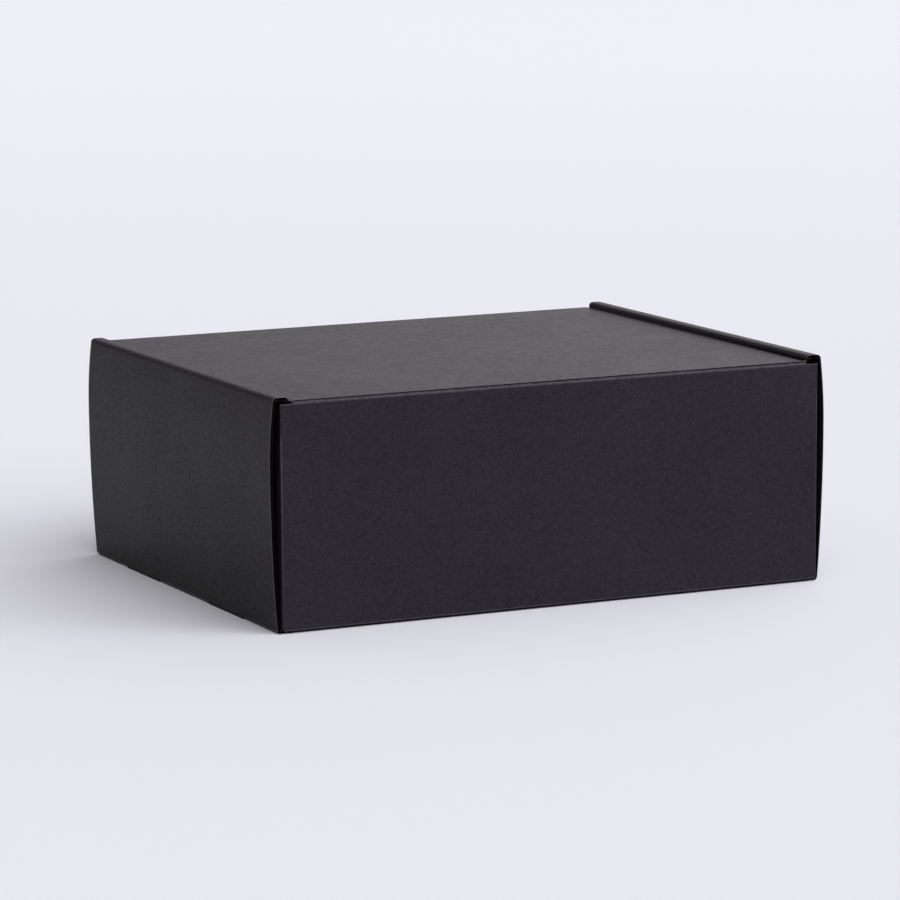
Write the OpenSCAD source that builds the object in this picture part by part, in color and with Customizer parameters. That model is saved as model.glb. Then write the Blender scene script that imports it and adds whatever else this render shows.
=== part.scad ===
// Corrugated mailer box: one die-cut sheet, folded up, with rolled double
// side walls, a hinged lid and a front flap whose ears tuck into the sides.
// X runs along the width, Y from front to back, Z up. The floor is z = 0.

/* [Box] */
// Width of the front flap, outside its two ears
flap_w = 286; // [220:1:400]
// Depth from the face of the front flap to the back wall
box_d = 231; // [190:1:340]
// Height of the lid's top
box_h = 109.5; // [90:0.5:160]
// Gap between the floor and the lower edge of the front flap
flap_lift = 1.3; // [0.5:0.1:4]

/* [Board] */
// Thickness of the corrugated board
board = 1.5; // [1.1:0.1:2]
// Inside radius of a fold
bend_r = 0.5; // [0.3:0.1:1]
// Gap between two plies of the folded tray
ply_gap = 0.1; // [0.05:0.05:0.3]
// Gap on each side of a ply that slides
slide_gap = 0.3; // [0.2:0.05:0.6]

/* [Side walls] */
// How far a side wall bows outwards past its foot
bow = 3; // [1.5:0.1:6]
// How far below the lid's top the bow is widest
bow_drop = 31; // [20:1:45]
// How far the rolled top leans outwards past the foot of its wall
roll_lean = 1.1; // [0:0.1:1.2]
// Outside radius of the two bends of the rolled top
roll_r = 2.1; // [2:0.1:3.6]
// How far the left rolled top stands above the lid
left_rise = 1.5; // [1:0.1:5]
// How far the right rolled top stands above the lid
right_rise = 2.5; // [1:0.1:5]

/* [Locks and dust flaps] */
// Length of a slot in the bottom for a lock tab
slot_len = 42; // [25:1:60]
// Distance between the middles of the two slots of a side
slot_pitch = 104; // [80:1:120]
// Gap at each end of a lock tab in its slot
tab_gap = 0.5; // [0.3:0.1:2]
// Radius of a lock tab's two free corners
tab_r = 0.8; // [0.3:0.1:0.9]
// Length of a dust flap inside a side wall
dust_len = 70; // [40:1:85]
// Radius of a dust flap's free corners
dust_r = 14; // [4:1:20]
// Gap above and below a dust flap
dust_gap = 0.8; // [0.5:0.1:3]

/* [Lid] */
// Gap between the lid and the rolled side walls
lid_gap = 0.4; // [0.3:0.1:1.5]
// Gap between the lid and the top of the front wall
lid_rest = 0.4; // [0.3:0.1:2]
// How far a wing of the lid reaches down inside its side wall
wing_drop = 36; // [20:1:50]
// Set-back of a wing's rear corner, to let it slip in
wing_taper = 14; // [5:1:30]
// Width of the relief cut at each back corner of the lid
relief_w = 1.6; // [0.8:0.1:3]
// Depth of the relief cut at each back corner of the lid
relief_d = 5; // [3:0.5:10]
// How much the crease stops short of the lid's edges
crease_inset = 1; // [0.5:0.1:3]
// How far the flap's upper corners lie below the lid's top
corner_drop = 1.5; // [1.5:0.1:4]
// How far the pressed front crease lies below the lid's top
crease_dip = 0.6; // [0:0.1:0.7]
// Gap between the bottom of the tray and the lowest point of an ear's swing
ear_gap = 0.5; // [0.3:0.1:2]

/* [Hidden] */
$fn = 48;
// Facet count of the large arcs of the side walls and of the flaps' swings
arc_fn = 1440;
eps = 0.01;
// How far a cutting shape reaches past the part
past = 1;
fold_r = board + bend_r;
half = board / 2;

// Planes from front to back
face_y = -box_d / 2;
back_y = box_d / 2;
wall_y = face_y + board + slide_gap;
wall_in_y = wall_y + board;
back_in_y = back_y - board;
side_end_y = back_y - slide_gap;

// Planes from the middle out to the right
ear_x = flap_w / 2;
dust_x = ear_x - board - slide_gap;
inner_out_x = dust_x - board - ply_gap;
inner_x = inner_out_x - board;
lid_x = inner_x - lid_gap;
foot_x = ear_x + slide_gap + board;
roll_x = foot_x + roll_lean;
peak_x = foot_x + bow;

// Levels
lid_under = box_h - board;
wall_top = lid_under - lid_rest;
peak_z = box_h - bow_drop;
slot_x = inner_x - slide_gap;

// Creases of the lid: the back one and the front one
hinge_y = back_y - half;
crease_y = face_y + half;
hinge_z = box_h - half;
crease_z = hinge_z - crease_dip;

// Swing of the lid about its back crease, past the front ends of the rolls
roll_top_h = max(left_rise, right_rise) + half;
roll_swing = norm([hinge_y - wall_y, roll_top_h]) + slide_gap;
// Swing of the wings, inside the front wall
wing_swing = hinge_y - wall_in_y - slide_gap;
// Swing of the ears about the front crease, above the bottom
ear_swing = crease_z - board - ear_gap;

// Extrudes an outline drawn in X and Z from y0 to y1
module along_depth(y0, y1) {
    translate([0, y1, 0]) rotate([90, 0, 0]) linear_extrude(height = y1 - y0) children();
}

// Extrudes an outline drawn in Y and Z from x0 to x1
module along_width(x0, x1) {
    translate([x0, 0, 0]) rotate([90, 0, 90]) linear_extrude(height = x1 - x0) children();
}

// Both sides of the box, from the right-hand one
module both_sides() {
    children();
    mirror([1, 0, 0]) children();
}

// A folded ply: part of a ring, from angle a0 to angle a1
module bend(r, a0, a1) {
    reach = 2 * r;
    mid = (a0 + a1) / 2;
    intersection() {
        difference() {
            circle(r = r, $fn = arc_fn);
            circle(r = r - board, $fn = arc_fn);
        }
        polygon([[0, 0], [reach * cos(a0), reach * sin(a0)], [reach * cos(mid), reach * sin(mid)],
                 [reach * cos(a1), reach * sin(a1)]]);
    }
}

module quarter_ring(r) {
    intersection() {
        difference() {
            circle(r = r);
            circle(r = r - board);
        }
        square(r);
    }
}

// A rectangle from corner a to corner b
module box_2d(a, b) {
    translate(a) square([b[0] - a[0], b[1] - a[1]]);
}

// Section of a right-hand side wall: foot, bowed ply, roll and inner ply.
// Each arc of the bow is tangent to the other one and to the bend it meets.
module side_section(rise) {
    roll_z = box_h + rise - roll_r;
    low_h = peak_z - fold_r;
    low_r = (pow(bow + fold_r, 2) + pow(low_h, 2) - pow(fold_r, 2)) / (2 * bow);
    low_turn = asin(low_h / (low_r - fold_r));
    high_h = roll_z - peak_z;
    high_in = bow - roll_lean;
    high_r = (pow(high_in + roll_r, 2) + pow(high_h, 2) - pow(roll_r, 2)) / (2 * high_in);
    high_turn = asin(high_h / (high_r - roll_r));
    translate([foot_x - fold_r, fold_r]) bend(fold_r, -90, -low_turn);
    translate([peak_x - low_r, peak_z]) bend(low_r, -low_turn, 0);
    translate([peak_x - high_r, peak_z]) bend(high_r, 0, high_turn);
    translate([roll_x - roll_r, roll_z]) bend(roll_r, high_turn, 90);
    box_2d([inner_x + roll_r - eps, roll_z + roll_r - board],
           [roll_x - roll_r + eps, roll_z + roll_r]);
    translate([inner_x + roll_r, roll_z]) mirror([1, 0]) quarter_ring(roll_r);
    box_2d([inner_x, board + ply_gap], [inner_out_x, roll_z + eps]);
}

// A side wall without the ends of its inner ply, which stop at the walls
module side_wall(rise) {
    difference() {
        along_depth(wall_y, side_end_y) side_section(rise);
        translate([inner_x - past, wall_y - past, -past])
            cube([ear_x - inner_x + past, wall_in_y + ply_gap - wall_y + past, wall_top + ply_gap + past]);
        translate([inner_x - past, back_in_y - ply_gap, -past])
            cube([ear_x - inner_x + past, board + past, lid_under + ply_gap + past]);
    }
}

// The opening of the slots of one side, through the bottom and its fold
module slots() {
    for (place = [-1, 1])
        translate([slot_x, place * slot_pitch / 2 - slot_len / 2, -past])
            cube([foot_x - board - slot_x, slot_len, board + past + eps]);
}

// The ply of the side wall that stands square on the floor beside a slot,
// and the lock tab that fills the inner part of the slot
module slot_edges_and_tabs() {
    tab_len = slot_len - 2 * tab_gap;
    for (place = [-1, 1]) translate([0, place * slot_pitch / 2, 0]) {
        translate([foot_x - board, -slot_len / 2, 0]) cube([board, slot_len, fold_r]);
        along_width(inner_x, inner_out_x) {
            box_2d([-tab_len / 2, tab_r], [tab_len / 2, board + ply_gap + eps]);
            box_2d([-tab_len / 2 + tab_r, 0], [tab_len / 2 - tab_r, board]);
            for (end = [-1, 1]) translate([end * (tab_len / 2 - tab_r), tab_r]) circle(r = tab_r);
        }
    }
}

module bottom_panel() {
    fold_start = foot_x - fold_r;
    wall_fold_x = dust_x - fold_r;
    linear_extrude(height = board) difference() {
        box_2d([-fold_start - eps, wall_y], [fold_start + eps, side_end_y]);
        box_2d([-wall_fold_x, wall_y - past], [wall_fold_x, wall_y + fold_r]);
        box_2d([-wall_fold_x, back_y - fold_r], [wall_fold_x, back_y + past]);
    }
}

// Outline of a dust flap in Y and Z, from its fold towards the middle
module dust_outline(top) {
    low = board + dust_gap;
    high = top - dust_gap;
    box_2d([fold_r - eps, low], [dust_len - dust_r, high]);
    box_2d([dust_len - dust_r - eps, low + dust_r], [dust_len, high - dust_r]);
    for (z = [low + dust_r, high - dust_r]) translate([dust_len - dust_r, z]) circle(r = dust_r);
}

// The front wall, in a frame whose y = 0 is its outer face
module end_wall(top) {
    wall_fold_x = dust_x - fold_r;
    along_width(-wall_fold_x, wall_fold_x) {
        translate([fold_r, fold_r]) rotate(180) quarter_ring(fold_r);
        box_2d([0, fold_r - eps], [board, top]);
    }
    both_sides() {
        translate([wall_fold_x - eps, fold_r, board + dust_gap])
            linear_extrude(height = top - board - 2 * dust_gap)
                mirror([0, 1]) quarter_ring(fold_r);
        along_width(dust_x - board, dust_x) dust_outline(top);
    }
}

module tray() {
    color([0.13, 0.125, 0.135]) {
        difference() {
            union() {
                bottom_panel();
                side_wall(right_rise);
                mirror([1, 0, 0]) side_wall(left_rise);
            }
            both_sides() slots();
        }
        both_sides() slot_edges_and_tabs();
        translate([0, wall_y, 0]) end_wall(wall_top);
        translate([0, back_y, 0]) mirror([0, 1, 0]) end_wall(lid_under);
    }
}

// Outline of a wing in Y and Z: a rounded front end that clears the front
// wall as the lid swings up, and a tapered rear end
module wing_outline() {
    low = box_h - wing_drop;
    rear = back_in_y - lid_gap;
    intersection() {
        translate([hinge_y, hinge_z]) circle(r = wing_swing, $fn = arc_fn);
        polygon([[face_y, box_h - fold_r + eps], [rear - relief_d, box_h - fold_r + eps],
                 [rear - relief_d - wing_taper, low], [wall_in_y + wing_taper, low],
                 [face_y, low + wing_taper]]);
    }
}

module lid() {
    lid_front = face_y + board;
    fold_x = lid_x - fold_r;
    front_strip = hinge_y - wing_swing;
    color([0.14, 0.135, 0.145]) {
        linear_extrude_panel(lid_under, box_h) difference() {
            box_2d([-lid_x, lid_front], [lid_x, hinge_y]);
            for (side = [-1, 1])
                translate([side * lid_x - (side > 0 ? relief_w : 0), back_y - relief_d])
                    square([relief_w, relief_d]);
            both_sides_2d() box_2d([fold_x, front_strip], [lid_x + past, back_in_y - relief_d]);
        }
        along_width(-lid_x + relief_w, lid_x - relief_w)
            translate([hinge_y, hinge_z]) circle(d = board);
        both_sides() {
            along_depth(front_strip, back_in_y - relief_d)
                translate([fold_x, box_h - fold_r]) quarter_ring(fold_r);
            along_width(lid_x - board, lid_x) wing_outline();
        }
    }
}

module linear_extrude_panel(z0, z1) {
    translate([0, 0, z0]) linear_extrude(height = z1 - z0) children();
}

module both_sides_2d() {
    children();
    mirror([1, 0]) children();
}

// Outline of an ear in Y and Z: it clears the roll as the lid swings up
// about the back crease, and the bottom as the flap swings out
module ear_outline() {
    intersection() {
        box_2d([face_y + fold_r - eps, 0], [crease_y + ear_swing, box_h - corner_drop]);
        difference() {
            translate([crease_y, crease_z]) circle(r = ear_swing, $fn = arc_fn);
            translate([hinge_y, hinge_z]) circle(r = roll_swing, $fn = arc_fn);
        }
    }
}

module front_flap() {
    crease_x = lid_x - crease_inset;
    corner_z = box_h - corner_drop;
    ear_top = hinge_z - sqrt(pow(roll_swing, 2) - pow(hinge_y - face_y - fold_r, 2));
    ear_low = max(flap_lift, board + ear_gap);
    fold_x = ear_x - fold_r;
    color([0.12, 0.115, 0.125]) {
        along_width(-crease_x, crease_x) {
            translate([crease_y, crease_z]) circle(d = board);
            box_2d([face_y, corner_z - eps], [face_y + board, crease_z]);
        }
        along_width(-fold_x, fold_x) box_2d([face_y, flap_lift], [face_y + board, ear_top]);
        along_width(-ear_x, ear_x) box_2d([face_y, ear_top - eps], [face_y + board, corner_z]);
        both_sides() {
            translate([fold_x - eps, face_y + fold_r, ear_low])
                linear_extrude(height = ear_top - ear_low)
                    mirror([0, 1]) quarter_ring(fold_r);
            along_width(ear_x - board, ear_x) ear_outline();
        }
    }
}

tray();
lid();
front_flap();
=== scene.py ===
"""Dresses a corrugated mailer box on a pale studio floor.

Each folded panel is made as a real board: two liners over a fluted core.
"""

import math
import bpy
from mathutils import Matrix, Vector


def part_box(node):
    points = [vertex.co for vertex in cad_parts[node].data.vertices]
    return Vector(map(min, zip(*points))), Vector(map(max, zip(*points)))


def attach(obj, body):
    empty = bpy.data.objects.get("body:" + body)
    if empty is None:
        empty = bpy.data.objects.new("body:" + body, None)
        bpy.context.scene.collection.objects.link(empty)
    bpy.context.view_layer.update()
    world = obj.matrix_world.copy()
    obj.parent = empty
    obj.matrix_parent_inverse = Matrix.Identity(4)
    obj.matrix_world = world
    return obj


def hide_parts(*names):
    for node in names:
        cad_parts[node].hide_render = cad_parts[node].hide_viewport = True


bl_info = {
    "name": "Mailer Box Board",
    "version": (1, 0, 0),
    "blender": (4, 5, 0),
    "location": "View3D > Sidebar > Mailer Box",
    "description": "Folds the liners and flutes of a corrugated mailer box around its frame",
    "category": "Object",
}

from types import SimpleNamespace

import bmesh
import bpy
from bpy.props import FloatProperty, FloatVectorProperty, PointerProperty
from mathutils import Matrix, Vector

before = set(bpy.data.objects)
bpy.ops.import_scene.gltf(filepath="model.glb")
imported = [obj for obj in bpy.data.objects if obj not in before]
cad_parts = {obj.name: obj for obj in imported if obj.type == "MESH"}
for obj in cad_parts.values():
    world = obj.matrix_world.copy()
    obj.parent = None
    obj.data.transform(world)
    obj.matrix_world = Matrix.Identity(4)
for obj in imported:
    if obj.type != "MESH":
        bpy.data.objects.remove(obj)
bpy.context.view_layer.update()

X = Vector((1, 0, 0))
Y = Vector((0, 1, 0))
Z = Vector((0, 0, 1))

# Steps of a curve
FOLD_STEPS = 8
BOW_STEPS = 20
FLUTE_STEPS = 8
LIP_STEPS = 6
HINGE_BEAD_STEPS = 12
CREASE_BEAD_STEPS = 16
DRUM_STEPS = 720

# How far the print is rubbed off, from 0 to 1; on the rolls, the front crease and the side walls' edges the
# paler print is partly a painted highlight
ROLL_WEAR_AND_HIGHLIGHT = 0.15
WALL_FOLD_WEAR = 0.2
SIDE_EDGE_WEAR_AND_HIGHLIGHT = 1.0
HINGE_WEAR = 0.6
LIP_WEAR = 0.8
CREASE_WEAR_AND_HIGHLIGHT = 0.9
FLAP_LOW_WEAR = 0.6
FLAP_CORNER_WEAR = 0.8
FLAP_SIDE_WEAR = 0.08

# Lengths that belong to the construction and not to the box
FADE_RUN = 0.0012
PAST = 0.01
PLY_PAST = 0.001
DRUM_HALF_WIDTH = 0.2
FLUTES_BELOW_TOP = 0.004
FLUTES_ABOVE_LOW = 0.006

# An ear runs back by its swing divided by this, before the drums cut it
EAR_SHARE = 3
# Shares of the board's half, of the core's set-back beside a slot, and of a layer's thickness
CREASE_REAR_LIFT = 0.6
SLOT_CORE_SHARE = 0.2
CUT_TOLERANCE = 0.05

# Angles in radians up to which an edge is shaded smooth
SMOOTH_ANGLE = 0.6
FLUTE_SMOOTH_ANGLE = 3

# The printed face: noise scales, their shares in its shade, and what the shade does
GRAIN_SCALE = 760
MOTTLE_SCALE = 260
CLOUD_SCALE = 22
MOTTLE_SHARE = 0.35
CLOUD_SHARE = 0.3
SHADE_RANGE = (0.525, 1.125)
PRINT_SPREAD = 0.23
SHINE_SPREAD = 0.55
FACE_SHINE = 0.06
TRAY_SHINE = 0.05
FACE_ROUGHNESS = (0.32, 0.40)
FLUTE_RELIEF = 0.075
RELIEF_STRENGTH = 0.5
RELIEF_HEIGHT = 0.00008

FLOOR_RADIUS = 60
# Direction and distances over which the floor is painted paler towards the back: painted light.
FLOOR_AWAY = (0.50, 0.87, 0)
FLOOR_RISE = (0.1, 3.5)

# Name, place, spread in degrees and strength of each lamp
SUNS = (
    ("front_sun", (0.4, -1.75, 1.9), 65, 1.56),
    ("left_sun", (-0.5, -1.7, 1.9), 65, 0.5),
    ("top_sun", (0.6, -0.8, 3.0), 65, 0.33),
    ("fill_sun", (1.25, -0.985, 0.365), 40, 1.45),
)

# Direction, the cosine to it where the light starts to grow, and strength of each light of the sky
SKY_LIGHTS = (
    ((0.8, 0.0, 0.6), -1.0, 0.435),
    ((0.43, 0.9, 0.1), 0.6, 0.11),
    ((0.95, 0.3, 0.1), 0.45, 0.917),
)

CAMERA_SENSOR = 36
CAMERA_LENS = 180
CAMERA_REACH = 50
CAMERA_PLACE = (-0.9651, -1.9922, 0.4209)
CAMERA_PITCH = 9.275
CAMERA_TURN = 25.838
CAMERA_ROLL = -0.308


def length(name, text, default):
    """A size of the box that can be set in the panel."""
    return FloatProperty(
        name=name, description=text, default=default, subtype="DISTANCE", unit="LENGTH", precision=5
    )


def colour(name, text, default):
    """A colour that can be set in the panel."""
    return FloatVectorProperty(
        name=name, description=text, default=default, subtype="COLOR", size=3, min=0, max=1
    )


class MailerSizes(bpy.types.PropertyGroup):
    """Sizes of the board and its folds, as in the part's source"""

    board: length("Board", "Thickness of the corrugated board", 0.0015)
    liner: length("Liner", "Thickness of the paper on each face", 0.0002)
    medium: length("Medium", "Thickness of the waved middle paper", 0.00014)
    flute_pitch: length("Flute pitch", "Distance from one flute to the next", 0.0033)
    cut_depth: length("Cut depth", "How deep a cut edge is open between its liners", 0.0022)
    bend_r: length("Bend", "Inside radius of a fold", 0.0005)
    slide_gap: length("Slide gap", "Gap on each side of a ply that slides", 0.0003)
    ply_gap: length("Ply gap", "Gap between two plies of the tray", 0.0001)
    bow: length("Bow", "How far a side wall bows past its foot", 0.003)
    bow_drop: length("Bow drop", "How far below the lid's top the bow is widest", 0.031)
    roll_lean: length("Roll lean", "How far the rolled top leans past the foot", 0.0011)
    roll_r: length("Roll radius", "Outside radius of the rolled top's bends", 0.0021)
    left_rise: length("Left rise", "Height of the left roll above the lid", 0.0015)
    right_rise: length("Right rise", "Height of the right roll above the lid", 0.0025)
    slot_len: length("Slot", "Length of a slot for a lock tab", 0.042)
    slot_pitch: length("Slot pitch", "Distance between the two slots of a side", 0.104)
    tab_gap: length("Tab gap", "Gap at each end of a lock tab", 0.0005)
    dust_len: length("Dust flap", "Length of a dust flap", 0.07)
    dust_r: length("Dust flap corner", "Radius of a dust flap's free corners", 0.014)
    dust_gap: length("Dust flap gap", "Gap above and below a dust flap", 0.0008)
    lid_gap: length("Lid gap", "Gap between the lid and the rolls", 0.0004)
    lid_rest: length("Lid rest", "Gap between the lid and the front wall", 0.0004)
    wing_taper: length("Wing taper", "Set-back of a wing's rear corner", 0.014)
    relief_w: length("Relief width", "Width of the cut at the lid's back corners", 0.0016)
    relief_d: length("Relief depth", "Depth of the cut at the lid's back corners", 0.005)
    crease_inset: length("Crease inset", "How much the crease stops short of the edges", 0.001)
    crease_dip: length("Crease dip", "How far the front crease is pressed below the lid", 0.0006)
    worn_edge: length("Worn edge", "Width of the worn line beside a cut edge", 0.0006)
    # The paler line along a side wall's cut edges is partly rubbed print, partly a painted highlight.
    side_wear_and_highlight: length("Worn side edge", "Width of the worn line along the cut edges of a side wall", 0.0016)
    lip_r: length("Lip radius", "How the lid rounds down into the front crease", 0.0004)
    crisp_r: length("Crisp fold", "Outside radius of the outer paper where an ear folds back", 0.0005)
    bead_drop: length("Bead", "How far the fold of the front flap rounds down its face", 0.0008)
    paper_back: length("Paper set-back", "How far the paper is worn back at the flap's lower edge", 0.0002)
    corner_drop: length("Corner drop", "How far the flap's corners lie below the lid", 0.0015)
    ear_gap: length("Ear gap", "Gap below the lowest swing of an ear", 0.0005)


class MailerColours(bpy.types.PropertyGroup):
    """Colours of the board and of the stage"""

    face: colour("Board face", "Printed face of the board", (0.0187, 0.0162, 0.0207))
    sheen: colour("Sheen", "Tint of the light that the printed face reflects", (0.95, 0.88, 1.0))
    # Paler print on folds and along edges: partly rubbed-thin print, partly a painted highlight on the rolls,
    # the front crease and the side walls' edges.
    worn_and_highlight: colour("Worn print", "Print that is rubbed thin on folds and along edges", (0.095, 0.090, 0.098))
    # Cut edges and core are near-black: partly the board's dark fibres, partly painted shade of the gaps and
    # slots where they show.
    edge: colour("Cut edge", "Fibres of a cut liner", (0.0007, 0.0006, 0.0008))
    core: colour("Core", "Waved paper inside the board", (0.0006, 0.0005, 0.0007))
    floor: colour("Floor", "Seamless floor", (0.745, 0.773, 0.783))
    # The far floor colour is painted light: the floor is painted paler towards the back, as a floor rising to
    # a lit backdrop looks.
    far_floor_painted_light: colour("Far floor", "Floor behind the box, where it rises to the backdrop", (0.80, 0.83, 0.85))
    light: colour("Light", "Colour of the studio's light", (0.98, 0.94, 1.0))


def make_places(s):
    """Planes and levels of the box, from the frame and the sizes."""
    tray_low, tray_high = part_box("tray")
    lid_low, lid_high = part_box("lid")
    flap_low, flap_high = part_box("front_flap")
    p = SimpleNamespace()
    p.half = s.board / 2
    p.fold_r = s.board + s.bend_r
    p.fold_mid = p.fold_r - p.half
    p.face_y = flap_low.y
    p.back_y = tray_high.y
    p.wall_y = tray_low.y
    p.wall_in_y = p.wall_y + s.board
    p.back_in_y = p.back_y - s.board
    p.side_end_y = p.back_y - s.slide_gap
    p.ear_x = flap_high.x
    p.lid_x = lid_high.x
    p.inner_x = p.lid_x + s.lid_gap
    p.dust_x = p.ear_x - s.board - s.slide_gap
    p.foot_x = p.ear_x + s.slide_gap + s.board
    p.roll_x = p.foot_x + s.roll_lean
    p.slot_x = p.inner_x - s.slide_gap
    p.box_h = lid_high.z
    p.wing_low = lid_low.z
    p.flap_low = flap_low.z
    p.lid_under = p.box_h - s.board
    p.wall_top = p.lid_under - s.lid_rest
    p.peak_z = p.box_h - s.bow_drop
    p.hinge_y = p.back_y - p.half
    p.crease_y = p.face_y + p.half
    p.hinge_z = p.box_h - p.half
    p.crease_z = p.hinge_z - s.crease_dip
    roll_top_h = max(s.left_rise, s.right_rise) + p.half
    p.roll_swing = math.hypot(p.hinge_y - p.wall_y, roll_top_h) + s.slide_gap
    p.wing_swing = p.hinge_y - p.wall_in_y - s.slide_gap
    p.ear_swing = p.crease_z - s.board - s.ear_gap
    reach = p.hinge_y - p.face_y - p.fold_r
    p.ear_top = p.hinge_z - math.sqrt(p.roll_swing**2 - reach**2)
    return p


class Sheet:
    """A strip of one layer of board that is folded as it grows: runs and bends from a first cross-section."""

    def __init__(self, bm, start, heading, inward, span, low, high):
        self.bm = bm
        self.point = Vector(start)
        self.heading = Vector(heading)
        self.inward = Vector(inward)
        self.axis = self.heading.cross(self.inward)
        self.wear_and_highlight = bm.verts.layers.float.get("wear_and_highlight") or bm.verts.layers.float.new("wear_and_highlight")
        corners = []
        for along, off in ((span[0], low), (span[1], low), (span[1], high), (span[0], high)):
            corners.append(bm.verts.new(self.point + self.axis * along + self.inward * off))
        self.face = bm.faces.new(corners)

    def _grow(self, distance):
        """Adds one straight piece, at the plain unrubbed print without painted highlight."""
        grown = bmesh.ops.extrude_face_region(self.bm, geom=[self.face])["geom"]
        verts = [g for g in grown if isinstance(g, bmesh.types.BMVert)]
        bmesh.ops.translate(self.bm, verts=verts, vec=self.heading * distance)
        self.face = next(g for g in grown if isinstance(g, bmesh.types.BMFace))
        self.point += self.heading * distance
        for v in verts:
            v[self.wear_and_highlight] = 0

    def run(self, distance, margin=FADE_RUN):
        """Straight on, with a short margin at both ends over which the rubbed print and painted highlight of
        a fold fade.
        """
        if distance > 3 * margin:
            self._grow(margin)
            self._grow(distance - 2 * margin)
            self._grow(margin)
        else:
            self._grow(distance)

    def bend(self, radius, angle, steps=FOLD_STEPS, wear_and_highlight=1.0):
        """Turns towards the inner side, or away from it where the angle is negative."""
        side = 1 if angle > 0 else -1
        centre = self.point + self.inward * radius * side
        turn = Matrix.Rotation(angle, 3, self.axis)
        first = len(self.bm.verts)
        start = self.point - centre if radius > 0 else -self.inward * side
        spun = bmesh.ops.spin(
            self.bm, geom=[self.face], cent=centre, axis=self.axis,
            angle=angle, steps=steps, use_duplicate=False
        )["geom_last"]
        self.face = next(g for g in spun if isinstance(g, bmesh.types.BMFace))
        buried = [f for f in self.bm.faces if all(len(e.link_faces) > 2 for e in f.edges)]
        bmesh.ops.delete(self.bm, geom=buried, context="FACES_ONLY")
        # Paler towards the middle of the bend: rubbed print, and on the rolls and the crease a painted
        # highlight.
        for v in list(self.bm.verts)[first:]:
            spoke = v.co - centre
            spoke -= self.axis * spoke.dot(self.axis)
            v[self.wear_and_highlight] = wear_and_highlight * math.sin(math.pi * min(1.0, spoke.angle(start) / abs(angle)))
        self.point = centre + turn @ (self.point - centre)
        self.heading = turn @ self.heading
        self.inward = turn @ self.inward


def layers(s):
    """The layers of a board: low and high offsets from its middle, and how far cut edges are set back."""
    half = s.board / 2
    return (
        ("outer", -half, -half + s.liner, 0.0),
        ("core", -half + s.liner, half - s.liner, s.cut_depth),
        ("inner", half - s.liner, half, 0.0),
    )


def mark_cut_faces(bm, thickness):
    """Gives the second material to the narrow faces that a knife left."""
    for face in bm.faces:
        narrowest = min(edge.calc_length() for edge in face.edges)
        if abs(narrowest - thickness) < thickness * CUT_TOLERANCE:
            face.material_index = 1


def finish_mesh(name, bm, materials, smooth_angle=SMOOTH_ANGLE):
    """Turns a bmesh into a shaded object in the scene."""
    bmesh.ops.recalc_face_normals(bm, faces=bm.faces)
    mesh = bpy.data.meshes.new(name)
    bm.to_mesh(mesh)
    bm.free()
    for material in materials:
        mesh.materials.append(material)
    obj = bpy.data.objects.new(name, mesh)
    bpy.context.scene.collection.objects.link(obj)
    mesh.shade_smooth()
    mesh.set_sharp_from_angle(angle=smooth_angle)
    return obj


def add_block(bm, low, high):
    """Adds a closed block between two corners."""
    size = Vector(high) - Vector(low)
    place = Matrix.Translation((Vector(high) + Vector(low)) / 2) @ Matrix.Diagonal((*size, 1))
    bmesh.ops.create_cube(bm, size=1, matrix=place)


def add_drum(bm, centre, radius):
    """Adds a closed drum whose axis lies along X and which is wider than the box."""
    bmesh.ops.create_cone(
        bm, cap_ends=True, segments=DRUM_STEPS, radius1=radius, radius2=radius, depth=2 * DRUM_HALF_WIDTH,
        matrix=Matrix.Translation(centre) @ Matrix.Rotation(math.pi / 2, 4, "Y")
    )


def cut_away(obj, cutter_bm, operation="DIFFERENCE"):
    """Cuts an object with the solids of a bmesh, which give the second material to the faces they leave."""
    mesh = bpy.data.meshes.new("cutter")
    for face in cutter_bm.faces:
        face.material_index = 1
    cutter_bm.to_mesh(mesh)
    cutter_bm.free()
    for material in obj.data.materials:
        mesh.materials.append(material)
    cutter = bpy.data.objects.new("cutter", mesh)
    bpy.context.scene.collection.objects.link(cutter)
    modifier = obj.modifiers.new("cut", "BOOLEAN")
    modifier.operation = operation
    modifier.object = cutter
    modifier.solver = "EXACT"
    modifier.use_self = True
    bpy.context.view_layer.update()
    shaped = obj.evaluated_get(bpy.context.evaluated_depsgraph_get())
    obj.data = bpy.data.meshes.new_from_object(shaped)
    obj.modifiers.clear()
    bpy.data.objects.remove(cutter)
    bpy.data.meshes.remove(mesh)


def join(name, objs):
    """Joins objects into the first one."""
    with bpy.context.temp_override(active_object=objs[0], selected_editable_objects=objs):
        bpy.ops.object.join()
    objs[0].name = name
    objs[0].data.name = name
    return objs[0]


def layer_blocks(bm, corners, normal, middle, low, high):
    """Adds flat parts of a layer: boxes in the sheet's plane, between two offsets along its normal."""
    along = [axis for axis in (X, Y, Z) if abs(axis.dot(normal)) < 0.5]
    for a, b in corners:
        near = along[0] * a[0] + along[1] * a[1] + normal * (middle + low)
        far = along[0] * b[0] + along[1] * b[1] + normal * (middle + high)
        low_corner = [min(near[i], far[i]) for i in range(3)]
        high_corner = [max(near[i], far[i]) for i in range(3)]
        add_block(bm, low_corner, high_corner)


def flute_row(bm, path, normal, span, s):
    """The waved middle paper that shows at an edge cut across the flutes."""
    steps = max(1, round(span / s.flute_pitch * FLUTE_STEPS))
    swing = s.board / 2 - s.liner - s.medium / 2
    grid = bmesh.ops.create_grid(bm, x_segments=steps, y_segments=1, size=1)["verts"]
    for vert in grid:
        travel = (vert.co.x + 1) / 2 * span
        depth = (vert.co.y + 1) / 2 * s.cut_depth
        point, into = path(travel)
        wave = math.sin(2 * math.pi * travel / s.flute_pitch)
        vert.co = point + into * depth + normal * swing * wave
    faces = list({face for vert in grid for face in vert.link_faces})
    bmesh.ops.solidify(bm, geom=faces, thickness=s.medium)


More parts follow.
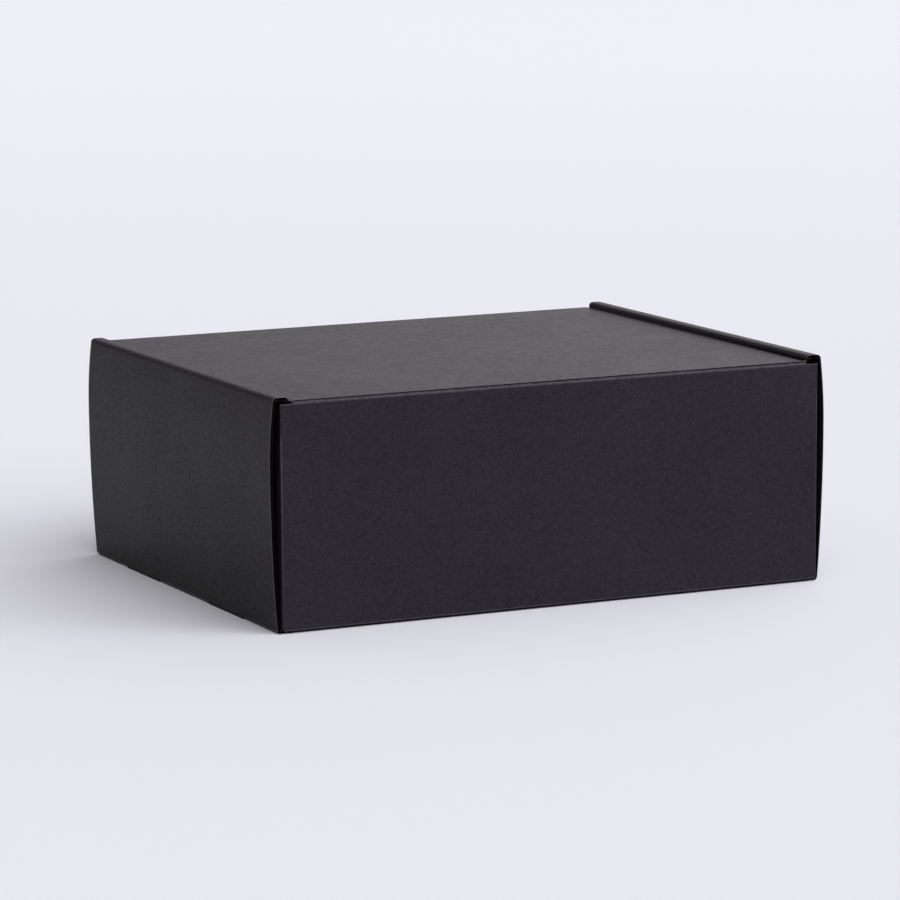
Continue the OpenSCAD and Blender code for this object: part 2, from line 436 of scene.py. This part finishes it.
def straight(start, along, into):
    """A straight path for a row of flutes."""
    start, along, into = Vector(start), Vector(along), Vector(into)
    return lambda travel: (start + along * travel, into)


def bow_arcs(s, p, rise):
    """Radius and angle of the two arcs of a bowed wall, each tangent to the bend that it meets."""
    low_h = p.peak_z - p.fold_r
    low_r = ((s.bow + p.fold_r) ** 2 + low_h**2 - p.fold_r**2) / (2 * s.bow)
    high_h = p.box_h + rise - s.roll_r - p.peak_z
    high_in = s.bow - s.roll_lean
    high_r = ((high_in + s.roll_r) ** 2 + high_h**2 - s.roll_r**2) / (2 * high_in)
    low_turn = math.asin(low_h / (low_r - p.fold_r))
    high_turn = math.asin(high_h / (high_r - s.roll_r))
    return SimpleNamespace(low_r=low_r, low_turn=low_turn, high_r=high_r, high_turn=high_turn)


def side_strip(bm, s, p, layer):
    """The tray's long strip: up the left inner ply, over, down, along the bottom and up the right side."""
    name, low, high, inset = layer
    left = bow_arcs(s, p, s.left_rise)
    right = bow_arcs(s, p, s.right_rise)
    roll_top = p.roll_x - p.inner_x - 2 * s.roll_r
    plies_low = s.board + s.ply_gap + inset
    start = (-(p.inner_x + p.half), 0, plies_low)
    strip = Sheet(bm, start, Z, -X, (inset - p.side_end_y, -(p.wall_y + inset)), low, high)
    strip.run(p.box_h + s.left_rise - s.roll_r - plies_low)
    # The roll's bends are painted paler: partly rubbed print, partly a painted highlight on the roll's top.
    strip.bend(s.roll_r - p.half, math.pi / 2, wear_and_highlight=ROLL_WEAR_AND_HIGHLIGHT)
    strip.run(roll_top)
    strip.bend(s.roll_r - p.half, math.pi / 2 - left.high_turn, wear_and_highlight=ROLL_WEAR_AND_HIGHLIGHT)
    strip.bend(left.high_r - p.half, left.high_turn, BOW_STEPS, 0)
    strip.bend(left.low_r - p.half, left.low_turn, BOW_STEPS, 0)
    strip.bend(p.fold_mid, math.pi / 2 - left.low_turn)
    strip.run(2 * (p.foot_x - p.fold_r))
    strip.bend(p.fold_mid, math.pi / 2 - right.low_turn)
    strip.bend(right.low_r - p.half, right.low_turn, BOW_STEPS, 0)
    strip.bend(right.high_r - p.half, right.high_turn, BOW_STEPS, 0)
    strip.bend(s.roll_r - p.half, math.pi / 2 - right.high_turn, wear_and_highlight=ROLL_WEAR_AND_HIGHLIGHT)
    strip.run(roll_top)
    strip.bend(s.roll_r - p.half, math.pi / 2, wear_and_highlight=ROLL_WEAR_AND_HIGHLIGHT)
    strip.run(p.box_h + s.right_rise - s.roll_r - plies_low)
    # Paler lines along the outer ply's front and rear edges: partly rubbed print, partly a painted highlight.
    if name == "outer":
        wear_and_highlight_line(bm, Y, p.wall_y, s.side_wear_and_highlight, SIDE_EDGE_WEAR_AND_HIGHLIGHT)
        wear_and_highlight_line(bm, Y, p.side_end_y, -s.side_wear_and_highlight, SIDE_EDGE_WEAR_AND_HIGHLIGHT)


def wear_and_highlight_line(bm, axis, edge, width, strength, outside=0.0):
    """A narrow paler line along an edge that lies square to an axis, rubbed print and in places a painted
    highlight; only further out than a given X.
    """
    wear_and_highlight = bm.verts.layers.float.get("wear_and_highlight") or bm.verts.layers.float.new("wear_and_highlight")
    everything = bm.verts[:] + bm.edges[:] + bm.faces[:]
    bmesh.ops.bisect_plane(bm, geom=everything, plane_co=axis * (edge + width), plane_no=axis)
    for vert in bm.verts:
        if abs(vert.co.dot(axis) - edge) < abs(width) / 4 and abs(vert.co.x) >= outside:
            vert[wear_and_highlight] = max(vert[wear_and_highlight], strength)


def wall_strip(bm, s, p, layer, wall_y, inward, top):
    """The front or back wall, up from its fold."""
    name, low, high, inset = layer
    reach = p.dust_x - p.fold_r
    turn_r = s.crisp_r if name == "outer" else p.fold_r
    start = Vector((0, wall_y + inward * p.fold_r, p.half))
    strip = Sheet(bm, start, Y * -inward, Z, (-reach, reach), low, high)
    if turn_r < p.fold_r:
        strip.run(p.fold_r - turn_r)
    strip.bend(turn_r - p.half, math.pi / 2, wear_and_highlight=WALL_FOLD_WEAR)
    strip.run(top - turn_r - inset)


def dust_strip(bm, s, p, layer, wall_y, inward, top, side):
    """A dust flap, from its fold at the end of a wall, with rounded free corners."""
    _, low, high, inset = layer
    z_low = s.board + s.dust_gap
    z_high = top - s.dust_gap
    heading = X * side
    inward_dir = Y * inward
    axis = heading.cross(inward_dir)
    span = sorted((axis.z * (z_low + inset), axis.z * (z_high - inset)))
    start = Vector((side * (p.dust_x - p.fold_r), wall_y + inward * p.half, 0))
    strip = Sheet(bm, start, heading, inward_dir, span, low, high)
    strip.bend(p.fold_mid, math.pi / 2)
    length_left = s.dust_len - p.fold_r - inset
    strip.run(length_left, length_left)
    across = [e for e in strip.face.edges if abs((e.verts[0].co - e.verts[1].co).z) < s.liner / 4]
    bmesh.ops.bevel(
        bm, geom=across, offset=s.dust_r - inset, segments=FOLD_STEPS, affect="EDGES", profile=0.5,
        material=-1
    )


def tray_cutter(s, p, inset):
    """What is cut from the side strips: the bands of the two walls, the inner plies' ends and the slots."""
    bm = bmesh.new()
    reach = p.dust_x - p.fold_r
    add_block(bm, (-reach, p.wall_y - PAST, -PAST), (reach, p.wall_y + p.fold_r, PAST))
    add_block(bm, (-reach, p.back_y - p.fold_r, -PAST), (reach, p.back_y + PAST, PAST))
    front_y = p.wall_in_y + s.ply_gap + inset
    rear_y = p.back_in_y - s.ply_gap - inset
    for side in (-1, 1):
        near, far = sorted((side * (p.inner_x - PLY_PAST), side * p.ear_x))
        add_block(bm, (near, p.wall_y - PAST, -PAST / 2), (far, front_y, p.wall_top + s.ply_gap))
        add_block(bm, (near, rear_y, -PAST / 2), (far, p.back_y + PAST, p.lid_under + s.ply_gap))
        slot_far = p.foot_x - s.board + inset * SLOT_CORE_SHARE
        near, far = sorted((side * (p.slot_x - inset), side * slot_far))
        for place in (-1, 1):
            middle = place * s.slot_pitch / 2
            half_slot = s.slot_len / 2 + inset
            slot_top = s.board + s.ply_gap / 2
            add_block(bm, (near, middle - half_slot, -PAST), (far, middle + half_slot, slot_top))
    return bm


def tabs_and_slot_edges(bm, s, p, layer):
    """The lock tabs in their slots, and the ply that stands square on the floor beside each slot."""
    _, low, high, inset = layer
    half_tab = s.slot_len / 2 - s.tab_gap - inset
    for side in (-1, 1):
        for place in (-1, 1):
            middle = place * s.slot_pitch / 2
            tab = [((middle - half_tab, inset), (middle + half_tab, s.board + s.ply_gap + inset))]
            layer_blocks(bm, tab, X * side, p.inner_x + p.half, low, high)
            ply = [((middle - s.slot_len / 2, inset), (middle + s.slot_len / 2, p.fold_r))]
            layer_blocks(bm, ply, X * side, p.foot_x - p.half, -high, -low)


def tray_flutes(s, p):
    """Flutes at the rear edges of the dust flaps and at the ends of the lock tabs."""
    bm = bmesh.new()
    half_tab = s.slot_len / 2 - s.tab_gap
    for side in (-1, 1):
        for wall_y, inward, top in ((p.wall_y, 1, p.wall_top), (p.back_y, -1, p.lid_under)):
            low_z, high_z = s.board + s.dust_gap + s.dust_r, top - s.dust_gap - s.dust_r
            start = (side * (p.dust_x - p.half), wall_y + inward * s.dust_len, low_z)
            flute_row(bm, straight(start, Z, -inward * Y), X, high_z - low_z, s)
        for place in (-1, 1):
            start = (side * (p.inner_x + p.half), place * s.slot_pitch / 2 - half_tab, s.medium)
            flute_row(bm, straight(start, Y, Z), X, 2 * half_tab, s)
    return bm


def layer_materials(name, board, edge, core):
    """The materials of a layer: of its face and of its cut edges."""
    return [core, core] if name == "core" else [board, edge]


class MAILER_OT_tray(bpy.types.Operator):
    """Folds the tray: bottom, walls, rolled sides, dust flaps and lock tabs"""

    bl_idname = "mailer.tray"
    bl_label = "Tray"

    def execute(self, context):
        s = context.scene.mailer_sizes
        p = make_places(s)
        cross = board_material("tray_print", 1, TRAY_SHINE)
        upright = board_material("tray_wall_print", 2, 0.0)
        edge, core = edge_material(), core_material()
        parts = []
        for layer in layers(s):
            name, low, high, inset = layer
            cross_materials = layer_materials(name, cross, edge, core)
            bm = bmesh.new()
            side_strip(bm, s, p, layer)
            mark_cut_faces(bm, high - low)
            strips = finish_mesh("tray_" + name, bm, cross_materials)
            cut_away(strips, tray_cutter(s, p, inset))
            parts.append(strips)
            bm = bmesh.new()
            for wall_y, inward, top in ((p.wall_y, 1, p.wall_top), (p.back_y, -1, p.lid_under)):
                wall_strip(bm, s, p, layer, wall_y, inward, top)
                for side in (-1, 1):
                    dust_strip(bm, s, p, layer, wall_y, inward, top, side)
            mark_cut_faces(bm, high - low)
            parts.append(finish_mesh("walls_" + name, bm, layer_materials(name, upright, edge, core)))
            bm = bmesh.new()
            tabs_and_slot_edges(bm, s, p, layer)
            mark_cut_faces(bm, high - low)
            parts.append(finish_mesh("tabs_" + name, bm, cross_materials))
        parts.append(finish_mesh("tray_flutes", tray_flutes(s, p), [core], FLUTE_SMOOTH_ANGLE))
        tray = join("tray_sheet", parts)
        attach(tray, "tray")
        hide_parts("tray")
        return {"FINISHED"}


class MAILER_OT_lid(bpy.types.Operator):
    """Folds the lid and its two wings"""

    bl_idname = "mailer.lid"
    bl_label = "Lid"

    def execute(self, context):
        s = context.scene.mailer_sizes
        p = make_places(s)
        board, edge, core = board_material("lid_print", 1), edge_material(), core_material()
        front = p.face_y + s.board
        fold_x = p.lid_x - p.fold_r
        wing_front = p.hinge_y - p.wing_swing
        wing_rear = p.back_in_y - s.relief_d
        parts = []
        for name, low, high, inset in layers(s):
            materials = layer_materials(name, board, edge, core)
            bm = bmesh.new()
            reach = p.lid_x - s.relief_w - inset
            lip = front + (s.lip_r if name == "outer" else 0)
            corners = [((-fold_x, lip), (fold_x, p.hinge_y))]
            for side in (-1, 1):
                corners.append(((side * fold_x, lip), (side * (p.lid_x - inset), wing_front - inset)))
                corners.append(((side * fold_x, wing_rear + inset), (side * reach, p.hinge_y)))
            layer_blocks(bm, corners, -Z, -p.hinge_z, low, high)
            if name == "outer":
                bead = Sheet(bm, (0, p.hinge_y, p.hinge_z), Y, -Z, (-reach, reach), low, high)
                bead.bend(0, math.pi, HINGE_BEAD_STEPS, HINGE_WEAR)
                edge_of_lid = Sheet(bm, (0, lip, p.hinge_z), -Y, -Z, (-p.lid_x, p.lid_x), low, high)
                edge_of_lid.bend(s.lip_r - p.half, math.pi / 2, LIP_STEPS, LIP_WEAR)
                edge_of_lid.run(s.lip_r)
            mark_cut_faces(bm, high - low)
            parts.append(finish_mesh("lid_top_" + name, bm, materials))
            bm = bmesh.new()
            for side in (-1, 1):
                span = sorted((side * wing_front, side * wing_rear))
                wing = Sheet(bm, (side * fold_x, 0, p.hinge_z), X * side, -Z, span, low, high)
                wing.bend(p.fold_mid, math.pi / 2)
                wing.run(p.box_h - p.fold_r - p.wing_low)
            mark_cut_faces(bm, high - low)
            wings = finish_mesh("wings_" + name, bm, materials)
            drum = bmesh.new()
            add_drum(drum, (0, p.hinge_y, p.hinge_z), p.wing_swing - inset)
            cut_away(wings, drum, "INTERSECT")
            cut_away(wings, wing_outline(s, p, inset), "INTERSECT")
            parts.append(wings)
        bm = bmesh.new()
        for side in (-1, 1):
            first = p.wall_in_y + s.wing_taper
            last = wing_rear - s.lid_gap - s.wing_taper
            start = (side * (p.lid_x - p.half), first, p.wing_low)
            flute_row(bm, straight(start, Y, Z), X, last - first, s)
        parts.append(finish_mesh("lid_flutes", bm, [core], FLUTE_SMOOTH_ANGLE))
        lid = join("lid_sheet", parts)
        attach(lid, "lid")
        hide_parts("lid")
        return {"FINISHED"}


def wing_outline(s, p, inset):
    """A block in the shape of the wings: tapered at the rear, with the lower front corner cut off."""
    fold_rear = p.back_in_y - s.relief_d - inset
    rear = fold_rear - s.lid_gap
    fold_z = p.box_h - p.fold_r
    low = p.wing_low + inset
    corners = (
        (p.face_y, low + s.wing_taper),
        (p.wall_in_y + s.wing_taper + inset, low),
        (rear - s.wing_taper, low),
        (rear, fold_z),
        (fold_rear, fold_z),
        (fold_rear, p.box_h + PAST),
        (p.face_y, p.box_h + PAST),
    )
    bm = bmesh.new()
    reach = p.lid_x + PAST
    face = bm.faces.new([bm.verts.new((-reach, y, z)) for y, z in corners])
    grown = bmesh.ops.extrude_face_region(bm, geom=[face])["geom"]
    verts = [g for g in grown if isinstance(g, bmesh.types.BMVert)]
    bmesh.ops.translate(bm, verts=verts, vec=X * 2 * reach)
    bmesh.ops.recalc_face_normals(bm, faces=bm.faces)
    return bm


class MAILER_OT_front_flap(bpy.types.Operator):
    """Folds the front flap and its two ears"""

    bl_idname = "mailer.front_flap"
    bl_label = "Front flap"

    def execute(self, context):
        s = context.scene.mailer_sizes
        p = make_places(s)
        board, edge, core = board_material("front_flap_print", 2), edge_material(), core_material()
        crease_x = p.lid_x - s.crease_inset
        corner_z = p.box_h - s.corner_drop
        parts = []
        for name, low, high, inset in layers(s):
            materials = layer_materials(name, board, edge, core)
            turn_r = s.crisp_r if name == "outer" else p.fold_r
            fold_x = p.ear_x - turn_r
            bm = bmesh.new()
            top = p.crease_z - (s.bead_drop if name == "outer" else s.liner)
            flap_low = p.flap_low + (s.paper_back if name == "outer" else inset)
            corners = [
                ((-fold_x, flap_low), (fold_x, p.ear_top)),
                ((inset - p.ear_x, p.ear_top), (-crease_x, corner_z - inset)),
                ((-crease_x, p.ear_top), (crease_x, top)),
                ((crease_x, p.ear_top), (p.ear_x - inset, corner_z - inset)),
            ]
            layer_blocks(bm, corners, Y, p.crease_y, low, high)
            if name == "outer":
                wear_and_highlight_line(bm, Z, flap_low, s.worn_edge, FLAP_LOW_WEAR)
                wear_and_highlight_line(bm, Z, corner_z, -s.worn_edge, FLAP_CORNER_WEAR, crease_x - s.liner)
                for side in (-1, 1):
                    wear_and_highlight_line(bm, X, side * fold_x, -side * s.worn_edge, FLAP_SIDE_WEAR)
                first = len(bm.verts)
                # The crease's bead is painted paler: partly rubbed print, partly a painted highlight where
                # the bead faces up.
                bead = Sheet(bm, (0, p.crease_y, p.crease_z), Z, Y, (-crease_x, crease_x), low, high)
                bead.bend(0, math.pi, CREASE_BEAD_STEPS, CREASE_WEAR_AND_HIGHLIGHT)
                for vert in bm.verts[first:]:
                    rise = (vert.co.z - p.crease_z) / p.half
                    if vert.co.y < p.crease_y:
                        vert.co.z = p.crease_z - s.bead_drop + rise * (p.half + s.bead_drop)
                    else:
                        vert.co.z += CREASE_REAR_LIFT * (1 - rise) * p.half
            mark_cut_faces(bm, high - low)
            parts.append(finish_mesh("flap_" + name, bm, materials))
            bm = bmesh.new()
            for side in (-1, 1):
                ear_low = max(p.flap_low, s.board + s.ear_gap) + inset
                span = sorted((side * ear_low, side * p.ear_top))
                ear = Sheet(bm, (side * fold_x, p.crease_y, 0), X * side, Y, span, low, high)
                ear.bend(turn_r - p.half, math.pi / 2)
                ear.run(p.ear_swing / EAR_SHARE)
            mark_cut_faces(bm, high - low)
            ears = finish_mesh("ears_" + name, bm, materials)
            drum = bmesh.new()
            add_drum(drum, (0, p.crease_y, p.crease_z), p.ear_swing - inset)
            cut_away(ears, drum, "INTERSECT")
            drum = bmesh.new()
            add_drum(drum, (0, p.hinge_y, p.hinge_z), p.roll_swing + inset)
            cut_away(ears, drum)
            parts.append(ears)
        bm = bmesh.new()
        for side in (-1, 1):
            ear_edge_flutes(bm, s, p, side)
        parts.append(finish_mesh("flap_flutes", bm, [core], FLUTE_SMOOTH_ANGLE))
        flap = join("front_flap_sheet", parts)
        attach(flap, "front_flap")
        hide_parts("front_flap")
        return {"FINISHED"}


def ear_edge_flutes(bm, s, p, side):
    """Flutes along the curved rear edge of an ear."""
    pivot = Vector((side * (p.ear_x - p.half), p.hinge_y, p.hinge_z))
    first = math.asin((p.hinge_z - p.ear_top + FLUTES_BELOW_TOP) / p.roll_swing)
    last = math.asin((p.hinge_z - p.flap_low - FLUTES_ABOVE_LOW) / p.roll_swing)

    def path(travel):
        turn = first + travel / p.roll_swing
        outwards = Vector((0, -math.cos(turn), -math.sin(turn)))
        return pivot + outwards * p.roll_swing, outwards

    flute_row(bm, path, X, (last - first) * p.roll_swing, s)


def shader(name):
    """A new node material and its main shader, or one that was made before and None."""
    material = bpy.data.materials.get(name)
    if material:
        return material, None
    material = bpy.data.materials.new(name)
    material.use_nodes = True
    return material, material.node_tree.nodes["Principled BSDF"]


def add_node(tree, kind, **values):
    """Adds a node and sets its sockets and its properties by name."""
    node = tree.nodes.new(kind)
    for key, value in values.items():
        if key in node.inputs:
            node.inputs[key].default_value = value
        else:
            setattr(node, key, value)
    return node


def add_noise(tree, place, scale, detail):
    """A noise over the object's own coordinates."""
    noise = add_node(tree, "ShaderNodeTexNoise", Scale=scale, Detail=detail, Roughness=0.5)
    tree.links.new(place.outputs["Object"], noise.inputs["Vector"])
    return noise.outputs["Fac"]


def add_math(tree, operation, *terms):
    """A calculation on numbers and on the outputs of other nodes."""
    node = add_node(tree, "ShaderNodeMath", operation=operation)
    for socket, term in zip(node.inputs, terms):
        if isinstance(term, (int, float)):
            socket.default_value = term
        else:
            tree.links.new(term, socket)
    return node.outputs[0]


def add_range(tree, value, source, target, **settings):
    """Maps a value from one range to another."""
    node = add_node(
        tree, "ShaderNodeMapRange", **settings,
        **{"From Min": source[0], "From Max": source[1], "To Min": target[0], "To Max": target[1]}
    )
    tree.links.new(value, node.inputs["Value"])
    return node.outputs["Result"]


def add_mix(tree, factor, first, second):
    """A mix of two colours, each of them three numbers or the output of another node."""
    node = add_node(tree, "ShaderNodeMix", data_type="RGBA")
    tree.links.new(factor, node.inputs["Factor"])
    for name, term in (("A", first), ("B", second)):
        if isinstance(term, bpy.types.NodeSocket):
            tree.links.new(term, node.inputs[name])
        else:
            node.inputs[name].default_value = (*term, 1)
    return node.outputs["Result"]


def board_material(name, flute_axis, shine_level=FACE_SHINE):
    """Black-printed board: mottled fibres, faint lines over the flutes and paler folds, partly rubbed print
    and partly painted highlight.
    """
    material, bsdf = shader(name)
    if bsdf is None:
        return material
    colours = bpy.context.scene.mailer_colours
    pitch = bpy.context.scene.mailer_sizes.flute_pitch
    tree = material.node_tree
    link = tree.links.new
    place = add_node(tree, "ShaderNodeTexCoord")
    grain = add_noise(tree, place, GRAIN_SCALE, 1)
    mottle = add_noise(tree, place, MOTTLE_SCALE, 2)
    cloud = add_noise(tree, place, CLOUD_SCALE, 2)
    shades = add_math(tree, "MULTIPLY_ADD", mottle, MOTTLE_SHARE, grain)
    broad = add_math(tree, "MULTIPLY_ADD", cloud, CLOUD_SHARE, shades)

    tint = add_range(tree, broad, SHADE_RANGE, (0.0, 1.0))
    dark, pale = ([c * (1 + turn * PRINT_SPREAD) for c in colours.face] for turn in (-1, 1))
    # Paler print where the mesh marks rubbed print and painted highlight.
    wear_and_highlight = add_node(tree, "ShaderNodeAttribute", attribute_name="wear_and_highlight")
    patchy = add_range(tree, mottle, (0.3, 0.6), (0.6, 1.0))
    worn_and_highlight = add_math(tree, "MULTIPLY", wear_and_highlight.outputs["Fac"], patchy)
    link(add_mix(tree, worn_and_highlight, add_mix(tree, tint, dark, pale), colours.worn_and_highlight), bsdf.inputs["Base Color"])

    split = add_node(tree, "ShaderNodeSeparateXYZ")
    link(place.outputs["Object"], split.inputs[0])
    phase = add_math(tree, "MULTIPLY", split.outputs[flute_axis], 2 * math.pi / pitch)
    relief = add_math(tree, "MULTIPLY_ADD", add_math(tree, "SINE", phase), FLUTE_RELIEF, shades)
    bump = add_node(tree, "ShaderNodeBump", Strength=RELIEF_STRENGTH, Distance=RELIEF_HEIGHT)
    link(relief, bump.inputs["Height"])
    link(bump.outputs["Normal"], bsdf.inputs["Normal"])

    link(add_range(tree, mottle, (0.3, 0.7), FACE_ROUGHNESS), bsdf.inputs["Roughness"])
    shines = [shine_level * (1 + turn * SHINE_SPREAD) for turn in (-1, 1)]
    link(add_range(tree, broad, SHADE_RANGE, shines), bsdf.inputs["Specular IOR Level"])
    bsdf.inputs["Specular Tint"].default_value = (*colours.sheen, 1)
    return material


def raw_paper(name, paper, spread, scale, detail, roughness):
    """Unprinted paper without shine, in fibres a little darker and paler than its colour."""
    material, bsdf = shader(name)
    if bsdf is None:
        return material
    tree = material.node_tree
    fibres = add_noise(tree, add_node(tree, "ShaderNodeTexCoord"), scale, detail)
    dark, pale = ([c * (1 + turn * spread) for c in paper] for turn in (-1, 1))
    tree.links.new(add_mix(tree, fibres, dark, pale), bsdf.inputs["Base Color"])
    bsdf.inputs["Roughness"].default_value = roughness
    bsdf.inputs["Specular IOR Level"].default_value = 0.0
    return material


def edge_material():
    """The fibres of a cut liner, near-black: partly their own dark colour, partly painted shade of the gaps
    where the edges show.
    """
    return raw_paper("cut_edge", bpy.context.scene.mailer_colours.edge, 0.4, 1800, 2, 0.9)


def core_material():
    """The waved paper between the liners, near-black: partly its own dark colour, partly painted shade inside
    the cut edges.
    """
    return raw_paper("flute_paper", bpy.context.scene.mailer_colours.core, 0.3, 900, 3, 0.95)


class MAILER_OT_stage(bpy.types.Operator):
    """Sets the pale floor, the soft lights and the camera"""

    bl_idname = "mailer.stage"
    bl_label = "Stage"

    def execute(self, context):
        scene = context.scene
        scene.view_settings.view_transform = "Standard"
        bm = bmesh.new()
        bmesh.ops.create_circle(bm, cap_ends=True, segments=96, radius=FLOOR_RADIUS)
        floor = finish_mesh("studio_floor", bm, [floor_material()])
        scene.world = studio_light()
        for name, place, spread, strength in SUNS:
            add_sun(name, place, spread, strength)
        add_camera(scene)
        return {"FINISHED"}


def add_camera(scene):
    """The camera of the photograph's view."""
    camera = bpy.data.cameras.new("camera")
    camera.sensor_width = CAMERA_SENSOR
    camera.lens = CAMERA_LENS
    camera.clip_end = CAMERA_REACH
    viewer = bpy.data.objects.new("camera", camera)
    viewer.location = CAMERA_PLACE
    turn = Matrix.Rotation(-math.radians(CAMERA_TURN), 4, "Z")
    tilt = Matrix.Rotation(math.radians(90 - CAMERA_PITCH), 4, "X")
    roll = Matrix.Rotation(math.radians(CAMERA_ROLL), 4, "Z")
    viewer.rotation_euler = (turn @ tilt @ roll).to_euler()
    scene.collection.objects.link(viewer)
    scene.camera = viewer


def floor_material():
    """A dull floor painted paler towards the back: painted light, as a floor that rises to a lit backdrop
    looks.
    """
    material, bsdf = shader("studio_floor")
    if bsdf is None:
        return material
    colours = bpy.context.scene.mailer_colours
    tree = material.node_tree
    place = add_node(tree, "ShaderNodeTexCoord")
    away = add_node(tree, "ShaderNodeVectorMath", operation="DOT_PRODUCT")
    away.inputs[1].default_value = FLOOR_AWAY
    tree.links.new(place.outputs["Object"], away.inputs[0])
    factor = add_range(
        tree, away.outputs["Value"], FLOOR_RISE, (0.0, 1.0), interpolation_type="SMOOTHSTEP"
    )
    tree.links.new(add_mix(tree, factor, colours.floor, colours.far_floor_painted_light), bsdf.inputs["Base Color"])
    bsdf.inputs["Roughness"].default_value = 0.9
    bsdf.inputs["Specular IOR Level"].default_value = 0.1
    return material


def studio_light():
    """Soft light of the room: broad from above and the right, and a little from low at the back and right."""
    world = bpy.data.worlds.new("studio_light")
    world.use_nodes = True
    tree = world.node_tree
    background = tree.nodes["Background"]
    background.inputs["Color"].default_value = (*bpy.context.scene.mailer_colours.light, 1)
    place = add_node(tree, "ShaderNodeTexCoord")
    total = 0
    for direction, start, strength in reversed(SKY_LIGHTS):
        toward = add_node(tree, "ShaderNodeVectorMath", operation="DOT_PRODUCT")
        toward.inputs[1].default_value = Vector(direction).normalized()
        tree.links.new(place.outputs["Generated"], toward.inputs[0])
        level = add_range(
            tree, toward.outputs["Value"], (start, 1.0), (0.0, strength), interpolation_type="SMOOTHSTEP"
        )
        total = add_math(tree, "ADD", level, total)
    tree.links.new(total, background.inputs["Strength"])
    return world


def add_sun(name, place, spread, strength):
    """A wide soft lamp that shines from a place towards the box."""
    light = bpy.data.lights.new(name, "SUN")
    light.angle = math.radians(spread)
    light.energy = strength
    light.color = bpy.context.scene.mailer_colours.light
    lamp = bpy.data.objects.new(name, light)
    lamp.location = place
    lamp.rotation_euler = (-Vector(place)).to_track_quat("-Z", "Y").to_euler()
    bpy.context.scene.collection.objects.link(lamp)


class MAILER_PT_panel(bpy.types.Panel):
    """Lists the pieces of the mailer box"""

    bl_idname = "MAILER_PT_panel"
    bl_label = "Mailer Box"
    bl_space_type = "VIEW_3D"
    bl_region_type = "UI"
    bl_category = "Mailer Box"

    def draw(self, context):
        layout = self.layout
        for operator in PIECES:
            layout.operator(operator.bl_idname)
        for group in (context.scene.mailer_sizes, context.scene.mailer_colours):
            for name in group.bl_rna.properties.keys():
                if name not in ("rna_type", "name"):
                    layout.prop(group, name)


PIECES = (MAILER_OT_stage, MAILER_OT_tray, MAILER_OT_lid, MAILER_OT_front_flap)
CLASSES = (MailerSizes, MailerColours, *PIECES, MAILER_PT_panel)


def register():
    """Makes the pieces' operators, the panel and its properties known to Blender."""
    for cls in CLASSES:
        bpy.utils.register_class(cls)
    bpy.types.Scene.mailer_sizes = PointerProperty(type=MailerSizes)
    bpy.types.Scene.mailer_colours = PointerProperty(type=MailerColours)


def unregister():
    """Takes back what register did."""
    del bpy.types.Scene.mailer_colours
    del bpy.types.Scene.mailer_sizes
    for cls in reversed(CLASSES):
        bpy.utils.unregister_class(cls)


def main():
    """Sets the stage and builds every piece."""
    register()
    bpy.ops.mailer.stage()
    bpy.ops.mailer.tray()
    bpy.ops.mailer.lid()
    bpy.ops.mailer.front_flap()


if __name__ == "__main__":
    main()
